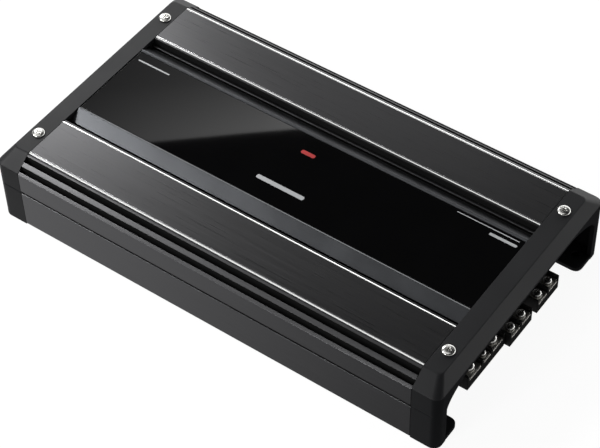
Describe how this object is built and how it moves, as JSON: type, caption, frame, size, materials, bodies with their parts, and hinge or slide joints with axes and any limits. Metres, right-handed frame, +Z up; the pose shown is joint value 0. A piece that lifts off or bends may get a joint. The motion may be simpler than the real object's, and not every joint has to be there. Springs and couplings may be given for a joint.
{
  "type": "car amplifier",
  "caption": "Flat car amplifier with a finned aluminium body, brushed top plates, a gloss centre panel, hooded end caps with mounting feet, and screw terminals at one end.",
  "frame": {"origin": "bottom centre, on the surface the four feet stand on", "axes": "+X along the length towards the output terminals, -Y the front long side, +Z up"},
  "size_m": [0.354, 0.2, 0.0608],
  "materials": {
    "anodised_aluminium": "satin anodised dark grey, brushed sides, black in the grooves",
    "brushed_aluminium": "brushed dark grey with polished bevels along both edges",
    "satin_trim": "satin blue-grey",
    "gloss_black": "gloss black",
    "cap_paint": "fine satin near-black paint",
    "black_steel": "black coated sheet steel",
    "nickel": "bright nickel plate",
    "black_plastic": "moulded black",
    "board": "green solder resist",
    "copper": "enamelled copper winding",
    "capacitor_sleeve": "dark shrink sleeve",
    "fuse_plastic": "translucent green",
    "lamp_lens": "red lens"
  },
  "bodies": {
    "root": {"heat_sink": "anodised_aluminium", "top_plate_front": "brushed_aluminium", "top_plate_rear": "brushed_aluminium", "centre_trim": "satin_trim", "gloss_panel": "gloss_black", "input_end_cap": "cap_paint", "output_end_cap": "cap_paint", "input_end_panel": "black_steel", "output_end_panel": "black_steel", "bottom_cover": "black_steel", "transistor_clamp_front": "black_steel", "transistor_clamp_rear": "black_steel", "cap_screw_1": "nickel", "cap_screw_2": "nickel", "cap_screw_3": "nickel", "cap_screw_4": "nickel", "cover_screw_1": "nickel", "cover_screw_2": "nickel", "cover_screw_3": "nickel", "cover_screw_4": "nickel", "transistor_clamp_screw_front": "nickel", "transistor_clamp_screw_rear": "nickel", "speaker_block_front": "black_plastic", "speaker_block_rear": "black_plastic", "power_block": "black_plastic", "fuse_holder": "black_plastic", "rca_block_1": "black_plastic", "rca_block_2": "black_plastic", "control_block": "black_plastic", "transistor_1": "black_plastic", "transistor_2": "black_plastic", "transistor_3": "black_plastic", "transistor_4": "black_plastic", "circuit_board": "board", "power_transformer": "copper", "capacitor_1": "capacitor_sleeve", "capacitor_2": "capacitor_sleeve", "power_lamp": "lamp_lens"},
    "speaker_1_lift": {"speaker_1_clamp": "nickel"},
    "speaker_1_turn": {"speaker_1_screw": "nickel"},
    "speaker_2_lift": {"speaker_2_clamp": "nickel"},
    "speaker_2_turn": {"speaker_2_screw": "nickel"},
    "speaker_3_lift": {"speaker_3_clamp": "nickel"},
    "speaker_3_turn": {"speaker_3_screw": "nickel"},
    "speaker_4_lift": {"speaker_4_clamp": "nickel"},
    "speaker_4_turn": {"speaker_4_screw": "nickel"},
    "battery_lift": {"battery_clamp": "nickel"},
    "battery_turn": {"battery_screw": "nickel"},
    "remote_lift": {"remote_clamp": "nickel"},
    "remote_turn": {"remote_screw": "nickel"},
    "ground_lift": {"ground_clamp": "nickel"},
    "ground_turn": {"ground_screw": "nickel"},
    "gain_knob_1": {"gain_knob_1": "black_plastic"},
    "crossover_knob_1": {"crossover_knob_1": "black_plastic"},
    "crossover_knob_2": {"crossover_knob_2": "black_plastic"},
    "gain_knob_2": {"gain_knob_2": "black_plastic"},
    "filter_switch_1": {"filter_switch_1": "nickel"},
    "filter_switch_2": {"filter_switch_2": "nickel"},
    "fuse_1": {"fuse_1": "fuse_plastic"},
    "fuse_2": {"fuse_2": "fuse_plastic"}
  },
  "joints": [
    {"name": "speaker_1_clamp_lift", "type": "slide", "parent": "root", "child": "speaker_1_lift", "axis": [0, 0, 1], "range_m": [0, 0.003]},
    {"name": "speaker_1_screw_turn", "type": "hinge", "parent": "speaker_1_lift", "child": "speaker_1_turn", "pos_m": [0.1711, -0.0063, 0.0225], "axis": [0, 0, 1], "range_deg": [0, 1800]},
    {"name": "speaker_2_clamp_lift", "type": "slide", "parent": "root", "child": "speaker_2_lift", "axis": [0, 0, 1], "range_m": [0, 0.003]},
    {"name": "speaker_2_screw_turn", "type": "hinge", "parent": "speaker_2_lift", "child": "speaker_2_turn", "pos_m": [0.1711, 0.0067, 0.0225], "axis": [0, 0, 1], "range_deg": [0, 1800]},
    {"name": "speaker_3_clamp_lift", "type": "slide", "parent": "root", "child": "speaker_3_lift", "axis": [0, 0, 1], "range_m": [0, 0.003]},
    {"name": "speaker_3_screw_turn", "type": "hinge", "parent": "speaker_3_lift", "child": "speaker_3_turn", "pos_m": [0.1711, 0.0271, 0.0225], "axis": [0, 0, 1], "range_deg": [0, 1800]},
    {"name": "speaker_4_clamp_lift", "type": "slide", "parent": "root", "child": "speaker_4_lift", "axis": [0, 0, 1], "range_m": [0, 0.003]},
    {"name": "speaker_4_screw_turn", "type": "hinge", "parent": "speaker_4_lift", "child": "speaker_4_turn", "pos_m": [0.1711, 0.0401, 0.0225], "axis": [0, 0, 1], "range_deg": [0, 1800]},
    {"name": "battery_clamp_lift", "type": "slide", "parent": "root", "child": "battery_lift", "axis": [0, 0, 1], "range_m": [0, 0.003]},
    {"name": "battery_screw_turn", "type": "hinge", "parent": "battery_lift", "child": "battery_turn", "pos_m": [0.1662, -0.0482, 0.0225], "axis": [0, 0, 1], "range_deg": [0, 1800]},
    {"name": "remote_clamp_lift", "type": "slide", "parent": "root", "child": "remote_lift", "axis": [0, 0, 1], "range_m": [0, 0.003]},
    {"name": "remote_screw_turn", "type": "hinge", "parent": "remote_lift", "child": "remote_turn", "pos_m": [0.1677, -0.0342, 0.0225], "axis": [0, 0, 1], "range_deg": [0, 1800]},
    {"name": "ground_clamp_lift", "type": "slide", "parent": "root", "child": "ground_lift", "axis": [0, 0, 1], "range_m": [0, 0.003]},
    {"name": "ground_screw_turn", "type": "hinge", "parent": "ground_lift", "child": "ground_turn", "pos_m": [0.1662, -0.0216, 0.0225], "axis": [0, 0, 1], "range_deg": [0, 1800]},
    {"name": "gain_knob_1_turn", "type": "hinge", "parent": "root", "child": "gain_knob_1", "pos_m": [-0.16, -0.024, 0.03], "axis": [-1, 0, 0], "range_deg": [-135, 135]},
    {"name": "crossover_knob_1_turn", "type": "hinge", "parent": "root", "child": "crossover_knob_1", "pos_m": [-0.16, -0.01, 0.03], "axis": [-1, 0, 0], "range_deg": [-135, 135]},
    {"name": "crossover_knob_2_turn", "type": "hinge", "parent": "root", "child": "crossover_knob_2", "pos_m": [-0.16, 0.01, 0.03], "axis": [-1, 0, 0], "range_deg": [-135, 135]},
    {"name": "gain_knob_2_turn", "type": "hinge", "parent": "root", "child": "gain_knob_2", "pos_m": [-0.16, 0.024, 0.03], "axis": [-1, 0, 0], "range_deg": [-135, 135]},
    {"name": "filter_switch_1_slide", "type": "slide", "parent": "root", "child": "filter_switch_1", "axis": [0, 1, 0], "range_m": [0, 0.003]},
    {"name": "filter_switch_2_slide", "type": "slide", "parent": "root", "child": "filter_switch_2", "axis": [0, 1, 0], "range_m": [0, 0.003]},
    {"name": "fuse_1_pull", "type": "slide", "parent": "root", "child": "fuse_1", "axis": [-1, 0, 0], "range_m": [0, 0.014]},
    {"name": "fuse_2_pull", "type": "slide", "parent": "root", "child": "fuse_2", "axis": [-1, 0, 0], "range_m": [0, 0.014]}
  ],
  "couplings": [
    {"joint": "speaker_1_screw_turn", "follows": "speaker_1_clamp_lift", "rad_per_m": 10472},
    {"joint": "speaker_2_screw_turn", "follows": "speaker_2_clamp_lift", "rad_per_m": 10472},
    {"joint": "speaker_3_screw_turn", "follows": "speaker_3_clamp_lift", "rad_per_m": 10472},
    {"joint": "speaker_4_screw_turn", "follows": "speaker_4_clamp_lift", "rad_per_m": 10472},
    {"joint": "battery_screw_turn", "follows": "battery_clamp_lift", "rad_per_m": 10472},
    {"joint": "remote_screw_turn", "follows": "remote_clamp_lift", "rad_per_m": 10472},
    {"joint": "ground_screw_turn", "follows": "ground_clamp_lift", "rad_per_m": 10472}
  ]
}
